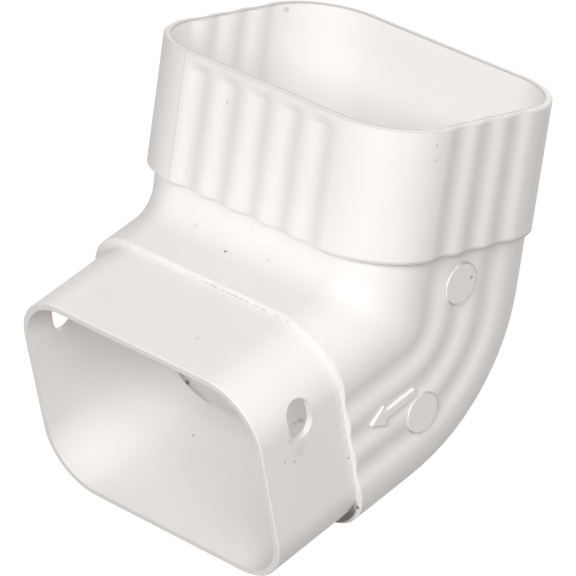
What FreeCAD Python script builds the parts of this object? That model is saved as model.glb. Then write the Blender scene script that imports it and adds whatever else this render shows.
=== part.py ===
import FreeCAD, Part
import math
import os

# Downspout elbow in one moulded piece: a fluted socket above, a bent body and a plain spigot.
# The socket's axis is Z and its rim lies in z = 0. The wall with the arrow is +X.
# Water falls along -Z, turns in the bend and leaves towards -Y and down. Millimetres.

V = FreeCAD.Vector

# Socket, which goes over the end of the downspout
socket_width = 87.0
socket_depth = 67.1
socket_height = 33.0
socket_corner = 18.5
socket_wall = 1.9
socket_floor = 2.0
rim_bevel = 0.35

# Flutes of the socket: five on the front, three on each side, none on the back
front_flutes = 5
side_flutes = 3
flute_depth = 0.75
plain_lip = 1.2
flute_run_in = 2.2

# Bend: the two axes cross this far below the rim, and the mouth is this far along the second one
bend_angle = 67.5
corner_drop = 62.99
corner_to_mouth = 61.51
throat_radius = 8.0
throat_flat = 0.4
heel_axis_lead = 5.6

# Body, which stands out from the spigot by the shoulder and a little behind the socket's middle
body_setback = 0.75
shoulder_step = 1.75
body_corner = 15.2
body_wall = 1.9
body_flute_depth = 0.65

# Spigot, which goes into the end of the next downspout
spigot_width = 79.6
spigot_depth = 58.5
spigot_corner = 15.1
spigot_wall = 1.75
spigot_length = 27.0
mouth_bevel = 0.25
core_depth = 40.8

# Screw slots through both side walls of the spigot
slot_length = 10.6
slot_width = 7.6
right_slot_from_mouth = 13.4
left_slot_from_mouth = 12.0
slot_above_axis = 15.0

# Blank discs and flow arrow on the +X wall of the body
mark_height = 0.2
mark_root = 1.0
disc_radius = 5.2
upper_disc_drop = 41.9
lower_disc_from_mouth = 50.2
lower_disc_below_axis = 7.1
arrow_tip_from_mouth = 33.4
arrow_length = 15.4
arrow_head_length = 4.9
arrow_head_width = 6.0
arrow_shaft_width = 2.2

# Solids that are joined to or cut from each other run this far past the meeting place
overlap = 1.0

body_half_width = spigot_width / 2 + shoulder_step
body_half_depth = spigot_depth / 2 + shoulder_step
turn = math.radians(bend_angle)
half_tan = math.tan(turn / 2)
upstream = V(0, math.sin(turn), math.cos(turn))
corner = V(0, body_setback, -corner_drop)
mouth = corner - upstream * corner_to_mouth
spigot_place = FreeCAD.Placement(mouth, FreeCAD.Rotation(V(1, 0, 0), -bend_angle))

# The throat is a mitre between the two legs, rounded to one radius.
# The heel turns about an axis inside the bend, and its flutes turn with it.
# The body's two sides meet at the depth of throat_back, just behind the throat's corners.
throat_back = body_corner - body_half_depth + throat_flat
heel_axis_offset = heel_axis_lead - throat_back
heel_axis = corner + V(0, -heel_axis_offset, heel_axis_offset * half_tan)
mitre_normal = V(0, math.sin(turn / 2), math.cos(turn / 2))
reach = 2 * (corner_drop + corner_to_mouth)

# The body's flutes lie between the throat's back and the corners of the heel
flute_margin = 0.3
body_flutes_from = throat_back + flute_margin
body_flutes_to = body_half_depth - body_corner - flute_margin


def above_mouth(point):
    """Distance of a point from the plane of the mouth, measured against the flow."""
    return (point - mouth).dot(upstream)


def fluted_wall(start, along, outward, length, count, depth, inset):
    """Edges of one wall in a wave of equal arcs; depth 0 gives the same edges laid flat."""
    pitch = length / count
    if depth > 0:
        radius = ((pitch / 4) ** 2 + (depth / 2) ** 2) / depth
        lean = math.asin(pitch / 4 / radius)

    def place(t, n):
        return start + along * t + outward * n

    def crest(t, a0, a1):
        if depth == 0:
            ends = [place(t + pitch / 4 * k, -inset) for k in (a0, a1)]
            return Part.makeLine(ends[0], ends[1])
        r = radius - inset
        points = [place(t + r * math.sin(a * lean), r * math.cos(a * lean) - radius)
                  for a in (a0, (a0 + a1) / 2, a1)]
        return Part.Arc(*points).toShape()

    def valley(t):
        if depth == 0:
            return Part.makeLine(place(t - pitch / 4, -inset), place(t + pitch / 4, -inset))
        r = radius + inset
        points = [place(t + r * math.sin(a * lean), radius - depth - r * math.cos(a * lean))
                  for a in (-1, 0, 1)]
        return Part.Arc(*points).toShape()

    edges = []
    for k in range(count):
        edges.append(crest(k * pitch, -1 if k else 0, 1))
        edges.append(valley((k + 0.5) * pitch))
    edges.append(crest(length, -1, 0))
    return edges


def corner_arc(x, y, radius, quarter):
    """Quarter circle about (x, y) that starts at the given quarter turn."""
    points = []
    for step in (0, 0.5, 1):
        a = (quarter + step) * math.pi / 2
        points.append(V(x + radius * math.cos(a), y + radius * math.sin(a), 0))
    return Part.Arc(*points).toShape()


def socket_outline(inset, front_depth, z):
    """Socket outline at height z, set in from the outside by inset."""
    a = socket_width / 2
    b = socket_depth / 2
    r = socket_corner
    front = 2 * (a - r)
    side = 2 * (b - r)
    edges = fluted_wall(V(r - a, -b, 0), V(1, 0, 0), V(0, -1, 0), front,
                        front_flutes, front_depth, inset)
    edges.append(corner_arc(a - r, r - b, r - inset, 3))
    edges += fluted_wall(V(a, r - b, 0), V(0, 1, 0), V(1, 0, 0), side,
                         side_flutes, flute_depth, inset)
    edges.append(corner_arc(a - r, b - r, r - inset, 0))
    edges.append(Part.makeLine(V(a - r, b - inset, 0), V(r - a, b - inset, 0)))
    edges.append(corner_arc(r - a, b - r, r - inset, 1))
    edges += fluted_wall(V(-a, b - r, 0), V(0, -1, 0), V(-1, 0, 0), side,
                         side_flutes, flute_depth, inset)
    edges.append(corner_arc(r - a, r - b, r - inset, 2))
    wire = Part.Wire(edges)
    wire.translate(V(0, 0, z))
    return wire


def rounded_face(half_width, half_depth, radius):
    """Plain rounded rectangle about the origin."""
    x = half_width - radius
    y = half_depth - radius
    edges = [
        Part.makeLine(V(-x, -half_depth, 0), V(x, -half_depth, 0)),
        corner_arc(x, -y, radius, 3),
        Part.makeLine(V(half_width, -y, 0), V(half_width, y, 0)),
        corner_arc(x, y, radius, 0),
        Part.makeLine(V(x, half_depth, 0), V(-x, half_depth, 0)),
        corner_arc(-x, y, radius, 1),
        Part.makeLine(V(-half_width, y, 0), V(-half_width, -y, 0)),
        corner_arc(-x, -y, radius, 2),
    ]
    return Part.Face(Part.Wire(edges))


def throat_face(inset, back):
    """Part of the body's section on the throat's side, from its front wall to the given depth."""
    a = body_half_width - inset
    b = body_half_depth - inset
    r = body_corner - inset
    edges = [
        Part.makeLine(V(r - a, -b, 0), V(a - r, -b, 0)),
        corner_arc(a - r, r - b, r, 3),
        Part.makeLine(V(a, r - b, 0), V(a, back, 0)),
        Part.makeLine(V(a, back, 0), V(-a, back, 0)),
        Part.makeLine(V(-a, back, 0), V(-a, r - b, 0)),
        corner_arc(r - a, r - b, r, 2),
    ]
    return Part.Face(Part.Wire(edges))


def heel_face(inset, depth):
    """Part of the body's section on the heel's side, from the heel's axis outwards."""
    a = body_half_width - inset
    b = body_half_depth - inset
    r = body_corner - inset
    near = -heel_axis_offset
    first = body_flutes_from
    last = body_flutes_to
    edges = [Part.makeLine(V(a, near, 0), V(a, first, 0))]
    if depth > 0:
        edges += fluted_wall(V(a, first, 0), V(0, 1, 0), V(1, 0, 0), last - first,
                             side_flutes, depth, inset)
    else:
        edges.append(Part.makeLine(V(a, first, 0), V(a, last, 0)))
    edges += [
        Part.makeLine(V(a, last, 0), V(a, b - r, 0)),
        corner_arc(a - r, b - r, r, 0),
        Part.makeLine(V(a - r, b, 0), V(r - a, b, 0)),
        corner_arc(r - a, b - r, r, 1),
        Part.makeLine(V(-a, b - r, 0), V(-a, last, 0)),
    ]
    if depth > 0:
        edges += fluted_wall(V(-a, last, 0), V(0, -1, 0), V(-1, 0, 0), last - first,
                             side_flutes, depth, inset)
    else:
        edges.append(Part.makeLine(V(-a, last, 0), V(-a, first, 0)))
    edges.append(Part.makeLine(V(-a, first, 0), V(-a, near, 0)))
    edges.append(Part.makeLine(V(-a, near, 0), V(a, near, 0)))
    return Part.Face(Part.Wire(edges))


def leg(face, low, high):
    """Face extruded along Z between two heights."""
    prism = face.extrude(V(0, 0, high - low))
    prism.translate(V(0, 0, low))
    return prism


def upright(shape):
    """Shape modelled about the body's middle, put in its place on the first leg."""
    placed = shape.copy()
    placed.translate(V(0, body_setback, 0))
    return placed


def tilted(shape):
    """Shape modelled on Z above the mouth, put in its place on the spigot's axis."""
    placed = shape.copy()
    placed.Placement = spigot_place.multiply(placed.Placement)
    return placed


def heel_run(face, top, end):
    """Heel's side of the body: down the first leg, round the heel's axis, along the second leg."""
    start = upright(face)
    start.translate(V(0, 0, heel_axis.z))
    turned = start.revolve(heel_axis, V(-1, 0, 0), bend_angle)
    lower = tilted(leg(face, end, above_mouth(heel_axis)))
    return upright(leg(face, heel_axis.z, top)).multiFuse([turned, lower])


def throat_arc(depth):
    """Arc in the plane of symmetry that joins the two legs at this depth of the section."""
    point = corner + V(0, depth, -depth * half_tan)
    outward = V(0, -math.cos(turn / 2), math.sin(turn / 2))
    middle = point + outward * (throat_radius / math.cos(turn / 2) - throat_radius)
    rise = throat_radius * half_tan
    return Part.Arc(point + V(0, 0, rise), middle, point - upstream * rise)


def beyond(point, normal):
    """Large block on the far side of a plane, for cutting a shape off there."""
    block = Part.makeBox(2 * reach, 2 * reach, reach, V(-reach, -reach, 0))
    block.Placement = FreeCAD.Placement(point, FreeCAD.Rotation(V(0, 0, 1), normal))
    return block


def throat_run(face):
    """Throat's side of the body: the mitre's section slides round from one leg to the other."""
    arc = throat_arc(-body_half_depth)
    first_leg = upright(leg(face, -reach, 0))
    second_leg = tilted(leg(face, 0, reach))
    upper = first_leg.cut(beyond(arc.StartPoint, -mitre_normal))
    lower = second_leg.cut(beyond(arc.EndPoint, mitre_normal))
    section = first_leg.slice(mitre_normal, mitre_normal.dot(arc.StartPoint))[0]
    slide = Part.BRepOffsetAPI.MakePipeShell(Part.Wire([arc.toShape()]))
    slide.setTrihedronMode(V(0, 0, 0), V(1, 0, 0))
    slide.add(section, False, False)
    slide.build()
    slide.makeSolid()
    return upper.multiFuse([slide.shape(), lower])


def throat_block():
    """Large block on the throat's side of the surface where the body's two sides meet."""
    arc = throat_arc(throat_back)
    start = arc.StartPoint + V(0, 0, reach)
    end = arc.EndPoint - upstream * reach
    edges = [
        Part.makeLine(start, arc.StartPoint),
        arc.toShape(),
        Part.makeLine(arc.EndPoint, end),
        Part.makeLine(end, start),
    ]
    block = Part.Face(Part.Wire(edges)).extrude(V(2 * reach, 0, 0))
    block.translate(V(-reach, 0, 0))
    return block


def bevelled_edges(solid, height, size):
    """Solid with the edges that lie in one level plane bevelled."""
    edges = [e for e in solid.Edges if all(abs(v.Z - height) < 1e-6 for v in e.Vertexes)]
    return solid.makeChamfer(size, edges).Solids[0]


def socket_solid(inset, top, bottom):
    """Socket filled solid: a plain lip, a run-in where the front flutes begin, and the fluted wall."""
    lip = -rim_bevel - plain_lip
    full = lip - flute_run_in
    rim = leg(Part.Face(socket_outline(inset, 0, 0)), lip, top)
    if inset == 0:
        rim = bevelled_edges(rim, top, rim_bevel)
    ends = [socket_outline(inset, 0, lip), socket_outline(inset, flute_depth, full)]
    run_in = Part.makeLoft(ends, True, True)
    fluted = leg(Part.Face(socket_outline(inset, flute_depth, 0)), bottom, full)
    return rim.multiFuse([run_in, fluted])


# Socket, outside and inside
floor = socket_floor - socket_height
socket = socket_solid(0, 0, -socket_height)
socket_bore = socket_solid(socket_wall, socket_wall, floor)

# Body, outside
shoulder = spigot_length
meeting = throat_block()
above_floor = beyond(V(0, 0, floor), V(0, 0, 1))
past_shoulder = beyond(mouth + upstream * shoulder, -upstream)
throat_side = throat_run(throat_face(0, throat_back + overlap))
throat_side = throat_side.cut([above_floor, past_shoulder]).common(meeting)
heel_side = heel_run(heel_face(0, body_flute_depth), floor, shoulder).cut(meeting)
body = throat_side.fuse(heel_side)

# Discs and arrow
mark_base = body_half_width - mark_root
mark_depth = mark_root + mark_height
disc = Part.makeCylinder(disc_radius, mark_depth, V(mark_base, 0, 0), V(1, 0, 0))
upper_disc = disc.copy()
upper_disc.translate(V(0, 0, -upper_disc_drop))
lower_disc = disc.copy()
lower_disc.translate(V(0, lower_disc_below_axis, lower_disc_from_mouth))
tip = arrow_tip_from_mouth
barb = tip + arrow_head_length
tail = tip + arrow_length
half_head = arrow_head_width / 2
half_shaft = arrow_shaft_width / 2
outline = [(0, tip), (half_head, barb), (half_shaft, barb), (half_shaft, tail)]
outline += [(-y, z) for y, z in reversed(outline[1:])]
arrow_points = [V(mark_base, y, z) for y, z in outline + outline[:1]]
arrow = Part.Face(Part.makePolygon(arrow_points)).extrude(V(mark_depth, 0, 0))
body = body.multiFuse([upper_disc, tilted(lower_disc), tilted(arrow)])

# Spigot, outside
spigot = leg(rounded_face(spigot_width / 2, spigot_depth / 2, spigot_corner), 0, shoulder + overlap)
spigot = tilted(bevelled_edges(spigot, 0, mouth_bevel))
outside = socket.multiFuse([body, spigot])

# Passage: the upper core ends on a plane across the spigot's axis, where the lower core begins
upper_top = floor + overlap
heel_core = heel_run(heel_face(body_wall, 0), upper_top, core_depth - overlap)
heel_core = heel_core.cut(beyond(V(0, body_setback + throat_back, 0), V(0, -1, 0)))
front_core = upright(leg(throat_face(body_wall, throat_back), -reach, upper_top))
upper_core = front_core.fuse(heel_core).cut(beyond(mouth + upstream * core_depth, -upstream))
lower_face = rounded_face(spigot_width / 2 - spigot_wall, spigot_depth / 2 - spigot_wall,
                          spigot_corner - spigot_wall)
lower_core = tilted(leg(lower_face, -overlap, core_depth))
elbow = outside.cut([socket_bore, upper_core, lower_core])

# Screw slots
slot_half = (slot_length - slot_width) / 2
slot_edges = []
for side in (-1, 1):
    y = side * slot_half
    x = side * slot_width / 2
    slot_edges.append(Part.Arc(V(-x, y, 0), V(0, y + x, 0), V(x, y, 0)).toShape())
    slot_edges.append(Part.makeLine(V(x, y, 0), V(x, -y, 0)))
slot_face = Part.Face(Part.Wire(slot_edges))
slot_face.rotate(V(0, 0, 0), V(0, 1, 0), 90)
slot_face.translate(V(0, -slot_above_axis, 0))
slot_reach = spigot_width / 2 + overlap
slot_depth = spigot_corner + overlap
for side, from_mouth in ((-1, left_slot_from_mouth), (1, right_slot_from_mouth)):
    cutter = slot_face.extrude(V(side * slot_depth, 0, 0))
    cutter.translate(V(side * (slot_reach - slot_depth), 0, from_mouth))
    elbow = elbow.cut(tilted(cutter))

elbow = elbow.Solids[0]
os.makedirs("parts", exist_ok=True)
elbow.exportStep("parts/elbow.step")
print("solids", len(elbow.Solids), "valid", elbow.isValid(), "volume", round(elbow.Volume))
print("box", elbow.BoundBox)
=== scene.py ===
import math
from types import SimpleNamespace
import bpy
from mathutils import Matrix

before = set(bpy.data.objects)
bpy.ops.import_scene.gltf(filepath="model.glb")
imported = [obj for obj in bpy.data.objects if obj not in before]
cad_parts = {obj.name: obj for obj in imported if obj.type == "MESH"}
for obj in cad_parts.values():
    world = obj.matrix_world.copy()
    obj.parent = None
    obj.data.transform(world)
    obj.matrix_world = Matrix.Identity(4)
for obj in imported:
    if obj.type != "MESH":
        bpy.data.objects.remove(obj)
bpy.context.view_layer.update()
scene = bpy.context.scene
scene.view_settings.view_transform = "Standard"

mm_per_metre = 1000.0

# Sizes of the elbow in millimetres, as its solid has them
bend = math.radians(67.5)
upstream = (0.0, math.sin(bend), math.cos(bend))
towards_heel = (0.0, math.cos(bend), -math.sin(bend))
mouth_centre = (0.0, -56.08, -86.53)
spigot_half = (39.8, 29.25)
spigot_corner = 15.1
spigot_length = 27.0
body_half = (41.55, 31.0)
body_corner = 15.2
body_setback = 0.75
socket_height = 33.0
bore_half = (41.6, 31.65)
bore_corner = 16.6
disc_centres = [(0.0, 0.0, -41.9), (0.0, -6.98, -73.88)]

# Arrow on the side wall: how far its tip, barbs and tail are from the mouth, and its half widths
arrow_tip = 33.4
arrow_barb = 38.3
arrow_tail = 48.8
arrow_head_half = 3.0
arrow_shaft_half = 1.1

# Colours of the vinyl, of what has settled on it, and of its painted light and shade
warm_white = (0.925, 0.899, 0.879, 1.0)
pale_white = (0.942, 0.920, 0.904, 1.0)
bore_light_white = (0.955, 0.945, 0.937, 1.0)
grain_grey = (0.80, 0.77, 0.735, 1.0)
dirt_and_shade_brown = (0.13, 0.095, 0.07, 1.0)
grain_strength = 0.10

# Painted shade in the corner at the shoulder, broken into crumbs of dirt, thickest on top about one place
shoulder_shade_x = 11.0
shoulder_shade_all_round = 0.10
shoulder_shade_on_top = 0.26

# Painted shade with some dirt under the socket, thickest on the arrow's side
step_shade_all_round = 0.03
step_shade_on_side = 0.30

# Painted shade low on the shoulder's face, a band that widens towards the heel from this depth
low_shade_depth = 22.0
low_shade_widening = 0.12
low_shade_strength = 0.9

# Thin lines left by the mould, on the socket's front and on top of the spigot
parting_line_x = -25.3
parting_strength = 0.16
witness_line_x = -0.9
witness_strength = 0.06

# Painted shade: grey over the rim, and a darker line along its inner edge
rim_grey = 0.17
rim_line_strength = 0.30

# Painted shade along the raised marks: just outside each disc, on the side that faces this way
disc_ring_radius = 5.25
shaded_way = (0.0, 0.95, -0.31)
mark_shade_strength = 0.32

# Specks and scuffs: place in millimetres, radius and strength
specks = [
    ((-3.8, -33.9, -43.7), 0.40, 0.80),
    ((-10.6, -32.8, -8.3), 0.35, 0.30),
    ((43.1, -18.7, -3.4), 0.30, 0.32),
    ((43.1, -18.6, -7.1), 0.30, 0.25),
    ((41.75, 3.4, -40.9), 0.45, 0.65),
    ((-34.4, -6.5, -94.6), 0.60, 0.75),
    ((-19.4, -18.6, -100.8), 0.38, 0.50),
    ((12.3, -57.8, -55.6), 0.60, 0.17),
    ((-16.2, -31.9, -41.7), 0.60, 0.12),
    ((0.5, -30.3, -37.0), 0.35, 0.14),
    ((8.4, -32.1, -42.0), 0.45, 0.18),
    ((-41.2, 18.8, -1.8), 0.70, 0.28),
    ((39.8, -52.7, -77.7), 0.34, 0.50),
    ((39.8, -48.9, -78.3), 0.40, 0.30),
    ((39.8, -47.6, -75.7), 1.60, 0.10),
    ((39.8, -51.4, -72.4), 0.90, 0.14),
    ((39.8, -39.9, -72.8), 0.45, 0.10),
    ((39.8, -35.6, -71.9), 0.30, 0.12),
    ((39.8, -29.8, -81.5), 0.40, 0.45),
    ((39.2, -22.9, -96.1), 0.60, 0.85),
    ((-2.4, 1.0, -94.3), 0.80, 0.35),
    ((-2.9, -0.5, -95.0), 0.60, 0.25),
]


# Small helpers that place and link nodes
def add(tree, kind, **settings):
    """New node of a kind, with its settings."""
    node = tree.nodes.new(kind)
    for name, value in settings.items():
        setattr(node, name, value)
    return node


def feed(tree, socket, value):
    """Links an output to the socket, or sets the socket to a plain value."""
    if isinstance(value, bpy.types.NodeSocket):
        tree.links.new(value, socket)
    else:
        socket.default_value = value


def calc(tree, operation, *values):
    """Result of a Math node."""
    node = add(tree, "ShaderNodeMath", operation=operation)
    for socket, value in zip(node.inputs, values):
        feed(tree, socket, value)
    return node.outputs["Value"]


def chain(tree, operation, result, *others):
    """Result of a Math operation taken over any number of values, in their order."""
    for value in others:
        result = calc(tree, operation, result, value)
    return result


def vector(tree, operation, *values):
    """Result of a Vector Math node: a number for dot product, length and distance."""
    node = add(tree, "ShaderNodeVectorMath", operation=operation)
    for socket, value in zip(node.inputs, values):
        feed(tree, socket, value)
    number = operation in ("DOT_PRODUCT", "LENGTH", "DISTANCE")
    return node.outputs["Value" if number else "Vector"]


def fade(tree, value, full, none):
    """1 where the value is at full, 0 where it is at none, smooth between."""
    node = add(tree, "ShaderNodeMapRange", interpolation_type="SMOOTHSTEP")
    for socket, number in zip(node.inputs, (value, none, full, 0.0, 1.0)):
        feed(tree, socket, number)
    return node.outputs["Result"]


def noise(tree, point, scale, detail=2.0, roughness=0.5):
    """Noise from 0 to 1 about 0.5, with scale in features per millimetre."""
    node = add(tree, "ShaderNodeTexNoise")
    feed(tree, node.inputs["Vector"], point)
    node.inputs["Scale"].default_value = scale
    node.inputs["Detail"].default_value = detail
    node.inputs["Roughness"].default_value = roughness
    return node.outputs["Fac"]


def tint(tree, base, colour, mask):
    """Base colour mixed towards another one by a mask."""
    node = add(tree, "ShaderNodeMix", data_type="RGBA")
    first, second = [socket for socket in node.inputs if socket.type == "RGBA"]
    result = [socket for socket in node.outputs if socket.type == "RGBA"][0]
    feed(tree, node.inputs["Factor"], mask)
    feed(tree, first, base)
    feed(tree, second, colour)
    return result


def new_group(name, output, **inputs):
    """Empty node group with inputs of the kinds given and one output, and the sockets at its two ends."""
    group = bpy.data.node_groups.new(name, "ShaderNodeTree")
    for label, kind in inputs.items():
        group.interface.new_socket(label, in_out="INPUT", socket_type="NodeSocket" + kind)
    group.interface.new_socket(output, in_out="OUTPUT", socket_type="NodeSocketFloat")
    return group, add(group, "NodeGroupInput").outputs, add(group, "NodeGroupOutput").inputs[output]


def use(tree, group, **values):
    """Output of a group placed in a tree, with its inputs fed by name."""
    node = add(tree, "ShaderNodeGroup", node_tree=group)
    for name, value in values.items():
        feed(tree, node.inputs[name], value)
    return node.outputs[0]


# Groups that the vinyl's wear and painted shade are drawn with
def outline_group():
    """Distance from the outline of a rounded rectangle: 0 on it, more outside."""
    group, ask, give = new_group("outline", "Distance", Across="Float", Deep="Float",
                                 HalfWidth="Float", HalfDepth="Float", Corner="Float")
    over = []
    for place, half in (("Across", "HalfWidth"), ("Deep", "HalfDepth")):
        straight = calc(group, "SUBTRACT", ask[half], ask["Corner"])
        over.append(calc(group, "SUBTRACT", calc(group, "ABSOLUTE", ask[place]), straight))
    past = add(group, "ShaderNodeCombineXYZ")
    for socket, value in zip(past.inputs, over):
        feed(group, socket, calc(group, "MAXIMUM", value, 0.0))
    inside = calc(group, "MINIMUM", calc(group, "MAXIMUM", *over), 0.0)
    reach = calc(group, "ADD", vector(group, "LENGTH", past.outputs["Vector"]), inside)
    feed(group, give, calc(group, "SUBTRACT", reach, ask["Corner"]))
    return group


def speck_group():
    """Small ragged spot about a point."""
    group, ask, give = new_group("speck", "Mask", Point="Vector", Centre="Vector", Radius="Float")
    raggedness = 3.6
    ragged_offset = -0.8
    least_reach = 0.2
    crumbs = noise(group, ask["Point"], scale=2.4, detail=3.0, roughness=0.7)
    ragged = calc(group, "MULTIPLY_ADD", crumbs, raggedness, ragged_offset)
    ragged = calc(group, "MAXIMUM", ragged, least_reach)
    gap = vector(group, "DISTANCE", ask["Point"], ask["Centre"])
    share = calc(group, "DIVIDE", gap, calc(group, "MULTIPLY", ask["Radius"], ragged))
    feed(group, give, fade(group, share, full=0.5, none=1.3))
    return group


def line_group():
    """Thin line where a distance is nothing."""
    group, ask, give = new_group("line", "Mask", Distance="Float", Width="Float")
    share = calc(group, "DIVIDE", calc(group, "ABSOLUTE", ask["Distance"]), ask["Width"])
    feed(group, give, fade(group, share, full=0.2, none=1.0))
    return group


def stroke_group():
    """Distance from a straight stroke between two points."""
    group, ask, give = new_group("stroke", "Distance", Point="Vector", Start="Vector", End="Vector")
    run = vector(group, "SUBTRACT", ask["End"], ask["Start"])
    gone = vector(group, "SUBTRACT", ask["Point"], ask["Start"])
    gone_by_run = vector(group, "DOT_PRODUCT", gone, run)
    share = calc(group, "DIVIDE", gone_by_run, vector(group, "DOT_PRODUCT", run, run))
    share = calc(group, "MINIMUM", calc(group, "MAXIMUM", share, 0.0), 1.0)
    nearest = vector(group, "MULTIPLY", run, share)
    feed(group, give, vector(group, "DISTANCE", gone, nearest))
    return group


outline = outline_group()
speck = speck_group()
line = line_group()
stroke = stroke_group()


# Where a point of the elbow lies
def places(tree):
    """Millimetres along the axes, from the mouth along and across the spigot, and off three outlines."""
    coords = add(tree, "ShaderNodeTexCoord")
    point = vector(tree, "MULTIPLY", coords.outputs["Object"], (mm_per_metre,) * 3)
    axes = add(tree, "ShaderNodeSeparateXYZ")
    feed(tree, axes.inputs["Vector"], point)
    x, y, z = axes.outputs
    from_mouth = vector(tree, "SUBTRACT", point, mouth_centre)
    along = vector(tree, "DOT_PRODUCT", from_mouth, upstream)
    deep = vector(tree, "DOT_PRODUCT", from_mouth, towards_heel)

    def off(depth, half, corner):
        """Distance off an outline with these half sizes and this corner."""
        return use(tree, outline, Across=x, Deep=depth, HalfWidth=half[0], HalfDepth=half[1], Corner=corner)

    return SimpleNamespace(
        point=point, x=x, y=y, z=z, along=along, deep=deep,
        off_shoulder=calc(tree, "SUBTRACT", along, spigot_length),
        off_spigot=off(deep, spigot_half, spigot_corner),
        off_body=off(calc(tree, "SUBTRACT", y, body_setback), body_half, body_corner),
        off_bore=off(y, bore_half, bore_corner),
    )


# Layers of the vinyl
def clean_vinyl(tree, at):
    """Cloudy warm white with a fine grain, painted paler inside the socket as light bouncing inside it."""
    cloud = noise(tree, at.point, scale=0.035, detail=3.0)
    colour = tint(tree, warm_white, pale_white, fade(tree, cloud, full=0.7, none=0.3))
    grain = fade(tree, noise(tree, at.point, scale=1.1), full=0.75, none=0.45)
    colour = tint(tree, colour, grain_grey, calc(tree, "MULTIPLY", grain, grain_strength))
    # Paler white inside the socket is painted light, standing in for light that bounces inside it
    in_bore = fade(tree, at.off_bore, full=0.2, none=0.9)
    above_ledge = fade(tree, at.z, full=-30.0, none=-36.0)
    return tint(tree, colour, bore_light_white, calc(tree, "MULTIPLY", in_bore, above_ledge))


def shoulder_shade_and_dirt(tree, at):
    """Painted shade in the corner between the shoulder and the spigot, broken into crumbs of dirt."""
    on_face = use(tree, line, Distance=at.off_shoulder, Width=0.40)
    on_spigot = use(tree, line, Distance=at.off_spigot, Width=0.45)
    aside = calc(tree, "ABSOLUTE", calc(tree, "SUBTRACT", at.x, shoulder_shade_x))
    on_top = calc(tree, "MULTIPLY", fade(tree, aside, full=12.0, none=22.0),
                  fade(tree, at.deep, full=-26.0, none=-20.0))
    amount = calc(tree, "MULTIPLY_ADD", on_top, shoulder_shade_on_top, shoulder_shade_all_round)
    crumbs = fade(tree, noise(tree, at.point, scale=0.8, detail=3.0, roughness=0.75), full=0.62, none=0.40)
    return chain(tree, "MULTIPLY", on_face, on_spigot, amount, crumbs)


def step_shade_and_dirt(tree, at):
    """Painted shade, with some dirt, on the body close under the socket."""
    below_socket = calc(tree, "ADD", at.z, socket_height)
    under_socket = use(tree, line, Distance=below_socket, Width=0.9)
    on_body = fade(tree, at.off_body, full=-0.8, none=-1.6)
    on_side = fade(tree, at.x, full=40.0, none=24.0)
    amount = calc(tree, "MULTIPLY_ADD", on_side, step_shade_on_side, step_shade_all_round)
    return chain(tree, "MULTIPLY", under_socket, on_body, amount)


def mould_lines(tree, at):
    """Parting line down the socket's front, and a faint broken line along the spigot's top."""
    parting = use(tree, line, Distance=calc(tree, "SUBTRACT", at.x, parting_line_x), Width=0.22)
    on_front = fade(tree, at.y, full=-32.0, none=-30.0)
    on_socket = fade(tree, at.z, full=-32.9, none=-33.2)
    witness = use(tree, line, Distance=calc(tree, "SUBTRACT", at.x, witness_line_x), Width=0.25)
    on_top = fade(tree, at.deep, full=-28.9, none=-28.0)
    up_to_body = fade(tree, at.along, full=33.0, none=38.0)
    broken = fade(tree, noise(tree, at.point, scale=0.12), full=0.62, none=0.44)
    return calc(tree, "ADD", chain(tree, "MULTIPLY", parting, on_front, on_socket, parting_strength),
                chain(tree, "MULTIPLY", witness, on_top, up_to_body, broken, witness_strength))


def shoulder_low_shade(tree, at):
    """Painted shade low on the shoulder's face, at its corner on the arrow's side."""
    past_depth = calc(tree, "SUBTRACT", at.deep, low_shade_depth)
    spread = calc(tree, "MULTIPLY_ADD", past_depth, -low_shade_widening, at.off_spigot)
    return chain(
        tree, "MULTIPLY",
        fade(tree, at.deep, full=25.0, none=18.0),
        fade(tree, spread, full=0.9, none=1.3),
        fade(tree, at.off_spigot, full=-0.3, none=-0.8),
        fade(tree, at.x, full=30.0, none=18.0),
        use(tree, line, Distance=at.off_shoulder, Width=0.8),
        low_shade_strength,
    )


def rim_shade(tree, at):
    """Rim greyed with painted shade, with a darker painted line along its inner edge."""
    inner_edge = use(tree, line, Distance=at.off_bore, Width=0.75)
    amount = calc(tree, "MULTIPLY_ADD", inner_edge, rim_line_strength, rim_grey)
    return calc(tree, "MULTIPLY", fade(tree, at.z, full=-0.1, none=-0.5), amount)


def mark_edge_shade(tree, at):
    """Painted shade along the shaded edges of the raised discs and the lower edges of the arrow."""
    edges = []
    side_view = vector(tree, "MULTIPLY", at.point, (0.0, 1.0, 1.0))
    for centre in disc_centres:
        from_disc = vector(tree, "SUBTRACT", side_view, centre)
        off_disc = calc(tree, "SUBTRACT", vector(tree, "LENGTH", from_disc), disc_ring_radius)
        shaded = fade(tree, vector(tree, "DOT_PRODUCT", from_disc, shaded_way), full=-1.0, none=-4.0)
        edges.append(calc(tree, "MULTIPLY", use(tree, line, Distance=off_disc, Width=0.40), shaded))
    on_wall = add(tree, "ShaderNodeCombineXYZ")
    feed(tree, on_wall.inputs["X"], at.deep)
    feed(tree, on_wall.inputs["Y"], at.along)
    corners = [(0.0, arrow_tip, 0.0), (arrow_head_half, arrow_barb, 0.0),
               (arrow_shaft_half, arrow_barb, 0.0), (arrow_shaft_half, arrow_tail, 0.0)]
    for start, end in zip(corners, corners[1:]):
        off_arrow = use(tree, stroke, Point=on_wall.outputs["Vector"], Start=start, End=end)
        edges.append(use(tree, line, Distance=off_arrow, Width=0.35))
    on_arrow_side = fade(tree, at.x, full=38.0, none=36.0)
    return chain(tree, "MULTIPLY", chain(tree, "MAXIMUM", *edges), on_arrow_side, mark_shade_strength)


def speckle(tree, at):
    """All specks and scuffs."""
    spots = []
    for centre, radius, strength in specks:
        spot = use(tree, speck, Point=at.point, Centre=centre, Radius=radius)
        spots.append(calc(tree, "MULTIPLY", spot, strength))
    return chain(tree, "MAXIMUM", *spots)


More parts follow.
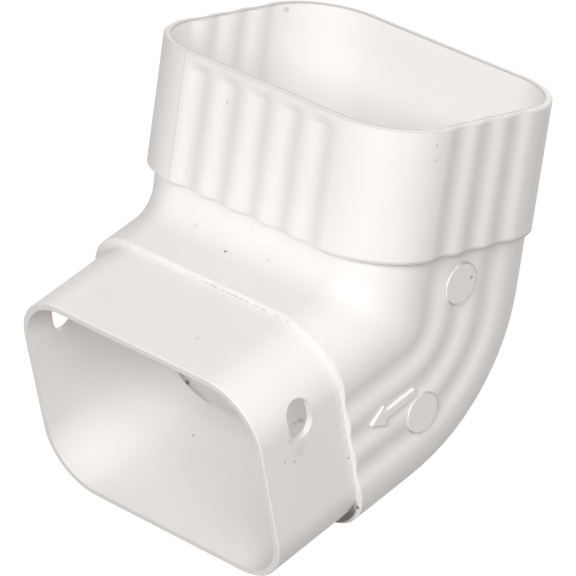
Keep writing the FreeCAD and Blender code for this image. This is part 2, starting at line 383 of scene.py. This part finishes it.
def satin_skin(tree, at, shader):
    """Satin gloss and a faint waviness, both a little uneven."""
    shader.inputs["IOR"].default_value = 1.5
    shader.inputs["Specular IOR Level"].default_value = 0.25
    smoothest = 0.33
    unevenness = 0.14
    skin = noise(tree, at.point, scale=0.09, detail=3.0)
    feed(tree, shader.inputs["Roughness"], calc(tree, "MULTIPLY_ADD", skin, unevenness, smoothest))
    bump = add(tree, "ShaderNodeBump")
    bump.inputs["Strength"].default_value = 0.25
    bump.inputs["Distance"].default_value = 0.0001
    feed(tree, bump.inputs["Height"], noise(tree, at.point, scale=0.14))
    feed(tree, shader.inputs["Normal"], bump.outputs["Normal"])


def new_material(name):
    """Material with its node tree and its Principled shader."""
    material = bpy.data.materials.new(name)
    material.use_nodes = True
    return material, material.node_tree, material.node_tree.nodes["Principled BSDF"]


def vinyl_with_dirt_and_shade():
    """White vinyl with the dirt and wear of use, and with painted shade and painted light."""
    material, tree, shader = new_material("vinyl")
    at = places(tree)
    layers = (shoulder_shade_and_dirt, step_shade_and_dirt, mould_lines, mark_edge_shade, shoulder_low_shade, rim_shade, speckle)
    # The dark brown is laid over real specks and mould lines and over painted shade alike
    dirt_and_shade = chain(tree, "MAXIMUM", *[layer(tree, at) for layer in layers])
    feed(tree, shader.inputs["Base Color"], tint(tree, clean_vinyl(tree, at), dirt_and_shade_brown, dirt_and_shade))
    satin_skin(tree, at, shader)
    return material


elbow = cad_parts["elbow"]
elbow.data.materials.clear()
elbow.data.materials.append(vinyl_with_dirt_and_shade())

# Camera at the photograph's angle
camera_data = bpy.data.cameras.new("camera")
camera_data.sensor_width = 36.0
camera_data.lens = 300.926
camera = bpy.data.objects.new("camera", camera_data)
camera.location = (0.707403, -0.843310, 0.352107)
camera.rotation_euler = [math.radians(angle) for angle in (69.3109, -7.6616, 43.3370)]
scene.collection.objects.link(camera)
scene.camera = camera

# Lamps, all alike but for their bearing and power, in metres
elbow_middle = (0.0, 0.0, -0.055)
lamp_distance = 1.5
lamp_size = 0.5
lamp_colour = (1.0, 0.988, 0.976)


def bearing(azimuth, height):
    """Direction from the elbow, azimuth from the front towards the arrow's side, in degrees."""
    turn = math.radians(azimuth)
    rise = math.radians(height)
    return math.cos(rise) * math.sin(turn), -math.cos(rise) * math.cos(turn), math.sin(rise)


def lamp(name, azimuth, height, power):
    """Square soft lamp aimed at the elbow's middle."""
    data = bpy.data.lights.new(name, "AREA")
    data.size = lamp_size
    data.energy = power
    data.color = lamp_colour
    stand = bpy.data.objects.new(name, data)
    way = bearing(azimuth, height)
    stand.location = [middle + lamp_distance * share for middle, share in zip(elbow_middle, way)]
    stand.rotation_euler = (math.radians(90 - height), 0.0, math.radians(azimuth))
    scene.collection.objects.link(stand)


lamp("key", azimuth=14, height=25, power=10.9)
lamp("camera_side", azimuth=50, height=30, power=4.9)
lamp("low", azimuth=30, height=-3, power=3.9)
lamp("back", azimuth=205, height=36, power=8.2)

# Colours of the room and the floor, and the floor's size and height in metres
white = (1.0, 1.0, 1.0, 1.0)
room_colour = (1.0, 0.972, 0.950, 1.0)
floor_grey = (0.14, 0.14, 0.14, 1.0)
floor_glow = 0.97
floor_size = 12.0
floor_height = -0.4

# Soft light of the room, from the arrow's side and from behind: azimuth, height and level
room_lobes = [(102, 0, 0.74), (218, 22, 0.55)]


def white_to(tree):
    """1 for the rays that see a white background: from the camera, through glass and off gloss."""
    path = add(tree, "ShaderNodeLightPath").outputs
    return chain(tree, "MAXIMUM", path["Is Camera Ray"], path["Is Transmission Ray"], path["Is Glossy Ray"])


def light_room():
    """World that lights the elbow by its lobes and is white where it is seen."""
    world = bpy.data.worlds.new("room")
    scene.world = world
    world.use_nodes = True
    tree = world.node_tree
    background = tree.nodes["Background"]
    direction = add(tree, "ShaderNodeTexCoord").outputs["Generated"]
    level = 0.0
    for azimuth, height, most in room_lobes:
        facing = vector(tree, "DOT_PRODUCT", direction, bearing(azimuth, height))
        level = calc(tree, "MULTIPLY_ADD", calc(tree, "MAXIMUM", facing, 0.0), most, level)
    seen = white_to(tree)
    strength = add(tree, "ShaderNodeMix")
    feed(tree, strength.inputs["Factor"], seen)
    feed(tree, strength.inputs["A"], level)
    strength.inputs["B"].default_value = 1.0
    feed(tree, background.inputs["Strength"], strength.outputs["Result"])
    feed(tree, background.inputs["Color"], tint(tree, room_colour, white, seen))


def floor_paint():
    """Paint that is white where it is seen and grey to the lamps."""
    material, tree, shader = new_material("floor_paint")
    shader.inputs["Base Color"].default_value = floor_grey
    shader.inputs["Roughness"].default_value = 0.9
    shader.inputs["Emission Color"].default_value = white
    feed(tree, shader.inputs["Emission Strength"], calc(tree, "MULTIPLY", white_to(tree), floor_glow))
    return material


light_room()
bpy.ops.mesh.primitive_plane_add(size=floor_size, location=(0.0, 0.0, floor_height))
floor = bpy.context.object
floor.name = "floor"
floor.data.materials.append(floor_paint())
